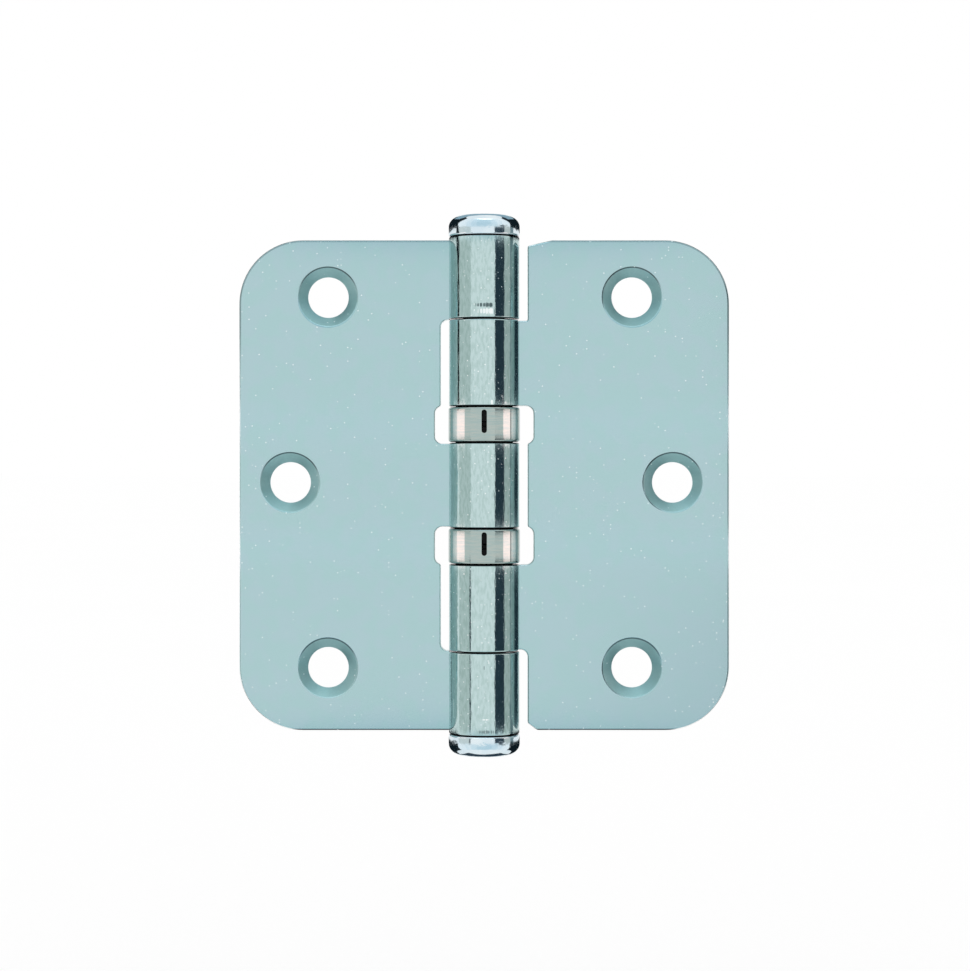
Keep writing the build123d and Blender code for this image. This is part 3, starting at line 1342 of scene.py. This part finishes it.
@dataclass(frozen=True)
class Studio:
    """A white room with a pale floor, and the cards that the metal mirrors."""

    barrel: Barrel
    camera: "Camera"
    radius: float = 110.0
    floor_height: float = -125.0
    floor_size: float = 80000.0
    barrel_face: float = 6.0
    hood_radius: float = 104.0
    hood_height: float = 156.0
    hood_overlap: float = 0.2
    hood_sides: tuple = (
        (Tone.VEIL, 24.0, 42.0),
        (Tone.MIST, 42.0, 60.0),
        (Tone.WHITE, 60.0, 91.0),
        (Tone.BLACK, 91.0, 165.0),
    )
    overrun: float = 3.0
    ring_margin: float = 0.4
    inset: float = 2.0

    def seen(self, low: float, high: float, radius: float) -> Point2:
        """The heights on a ring of cards that the camera sees in a stretch of the barrel."""
        share = (radius - self.barrel_face) / (self.camera.distance - self.barrel_face)
        return tuple(at + (at - self.camera.eye_height) * share for at in (low, high))

    def stand(self, name: str, tone: Tone, azimuths: Point2, span: Point2, inset: float = 0.0) -> Card:
        """A card of the ring, as high as the camera sees it in a stretch of the barrel."""
        return Card(name, tone, azimuths, self.seen(*span, self.radius), self.radius - inset)

    def barrel_cards(self) -> list[Card]:
        """Draw the upright bands on the knuckles.

        Returns:
            Their cards, open where the rings would see them.
        """
        top = self.barrel.top + self.overrun
        ring_top = self.barrel.bearing_top - self.ring_margin
        ring_low = self.barrel.bearing_low + self.ring_margin
        tall, upper, lower = (-top, top), (ring_top, top), (-top, -ring_top)
        dark = [
            self.stand(f"dark_card_{n}", Tone.NAVY, (34.0, 67.0), span)
            for n, span in enumerate((lower, (-ring_low, ring_low), upper))
        ]
        return dark + [
            self.stand("grey_card", Tone.GREY, (-87.5, -43.0), tall),
            self.stand("stone_card", Tone.STONE, (67.0, 91.0), tall),
            self.stand("left_line", Tone.BLACK, (-100.0, -87.5), upper),
            self.stand("low_line", Tone.NAVY, (-47.0, -43.0), lower, self.inset),
            self.stand("right_line", Tone.SLATE, (91.0, 106.0), tall),
        ]

    def ring_cards(self) -> list[Card]:
        """Draw the pale stripes on the bearing rings.

        Returns:
            Their bright strips.
        """
        low = self.barrel.bearing_low + self.ring_margin
        high = self.barrel.bearing_top - self.ring_margin
        parts = (
            ("left_strip", Tone.STRIP, (-97.0, -64.0)),
            ("right_strip", Tone.STRIP, (62.0, 90.0)),
            ("ring_front", Tone.WHITE, (-64.0, 62.0)),
        )
        return [
            self.stand(f"{word}_{n}", tone, azimuths, span, self.inset)
            for n, span in enumerate(((low, high), (-high, -low)))
            for word, tone, azimuths in parts
        ]

    def cap_cards(self) -> list[Card]:
        """Draw the caps' soft shading.

        Returns:
            The cards of a hood over each cap, dark at its sides.
        """
        end = self.barrel.top - self.hood_overlap
        under, over = self.seen(-end, end, self.hood_radius)
        shades = [(Tone.HAZE, -24.0, 24.0)]
        for tone, start, end in self.hood_sides:
            shades += [(tone, -end, -start), (tone, start, end)]
        hoods = {"top": (over, over + self.hood_height), "low": (under - self.hood_height, under)}
        return [
            Card(f"{word}_hood_{n}", tone, (start, end), span, self.hood_radius)
            for word, span in hoods.items()
            for n, (tone, start, end) in enumerate(shades)
        ]

    def panels(self) -> list[Panel]:
        """A softbox over the front, and a darker crown beyond each cap."""
        return [
            Panel("softbox", Tone.SOFTBOX, (0, -190, 230), (420, 220)),
            Panel("top_crown", Tone.STEEL, (0, 22, 70), (50, 30)),
            Panel("low_crown", Tone.NAVY, (0, 10, -70), (30, 26)),
        ]

    def floor(self) -> bpy.types.Object:
        """Lay the pale floor well below the hinge.

        Returns:
            The floor.
        """
        place = {"size": self.floor_size, "location": (0, 0, self.floor_height)}
        floor = Workpiece("floor", bpy.ops.mesh.primitive_plane_add, **place)
        floor.to_metres()
        board = Board("pale_floor")
        fine = board.noise(board.place(), 400.0, 1.0)
        colour = board.mix(fine, (0.993, 0.993, 0.993, 1), (1, 1, 1, 1))
        board.finish(Base_Color=colour, Roughness=1.0, Specular_IOR_Level=0.0)
        floor.object.data.materials.append(board.material)
        return floor.object

    def build(self) -> None:
        """Light the room and set up its floor and cards."""
        world = bpy.data.worlds.new("studio")
        bpy.context.scene.world = world
        world.use_nodes = True
        world.node_tree.nodes["Background"].inputs["Color"].default_value = (1, 1, 1, 1)
        self.floor()
        for card in self.barrel_cards() + self.ring_cards() + self.cap_cards() + self.panels():
            LOG.info("card %s", card.build().name)


@dataclass(frozen=True)
class Camera:
    """The photograph's camera: level, square to the leaves and about 450 mm away."""

    distance: float = 450.0
    eye_height: float = 3.0
    pixels_per_mm: float = 5.505
    centre_px: tuple[float, float] = (484.2, 485.2)
    frame_px: tuple[float, float] = (970.0, 971.0)
    sensor: float = 36.0
    plane: float = 0.8

    def build(self) -> bpy.types.Object:
        """Put the camera in front of the countersunk faces.

        Returns:
            The camera's object.
        """
        data = bpy.data.cameras.new("photo_camera")
        camera = bpy.data.objects.new("photo_camera", data)
        bpy.context.scene.collection.objects.link(camera)
        width, height = self.frame_px
        longest = max(width, height)
        data.sensor_width = self.sensor
        data.lens = self.pixels_per_mm * self.distance * self.sensor / longest
        camera.location = (0, (self.plane - self.distance) * MM, self.eye_height * MM)
        camera.rotation_euler = (math.pi / 2, 0, 0)
        data.shift_x = (width / 2 - self.centre_px[0]) / longest
        eye_px = self.centre_px[1] - self.eye_height * self.pixels_per_mm
        data.shift_y = (eye_px - height / 2) / longest
        data.clip_start, data.clip_end = 0.01, 100.0
        bpy.context.scene.camera = camera
        return camera


def screw_places(near: float, far: float, rise: float = 33.7, shift: float = 0.5) -> tuple[Point2, ...]:
    """Distance and height of a leaf's three screw holes, the middle one farther from the pin."""
    return ((near, shift + rise), (far, shift), (near, shift - rise))


def main() -> None:
    """Build every piece in order, then the studio around them."""
    logging.basicConfig(level=logging.INFO)
    bpy.context.scene.view_settings.view_transform = "Standard"
    barrel = Barrel()
    left, right = screw_places(28.4, 35.3), screw_places(26.9, 34.3)
    zinc = ZincPlate(holes=tuple((-x, z) for x, z in left) + right).material()
    bright = BrightPin().material()
    nickel = NickelCan().material()
    nips = ((1, 4.4, 1.0), (-1, 1.7, 1.3))
    parts = (
        Leaf(barrel, zinc, "fixed_leaf_sheet", "three_knuckle_leaf", "fixed_leaf", Side.LEFT, left),
        Leaf(barrel, zinc, "swing_leaf_sheet", "two_knuckle_leaf", "swing_leaf", Side.RIGHT, right, nips),
        HingePin(barrel, bright),
        BottomPlug(barrel, bright),
        BearingCan(barrel, nickel, "upper", "fixed_leaf"),
        BearingCan(barrel, nickel, "lower", "swing_leaf"),
    )
    for part in parts:
        piece = part.build()
        LOG.info("%s: %d faces", piece.name, len(piece.data.polygons))
    dress_inner_pieces()
    camera = Camera()
    Studio(barrel, camera).build()
    camera.build()


if __name__ == "__main__":
    main()
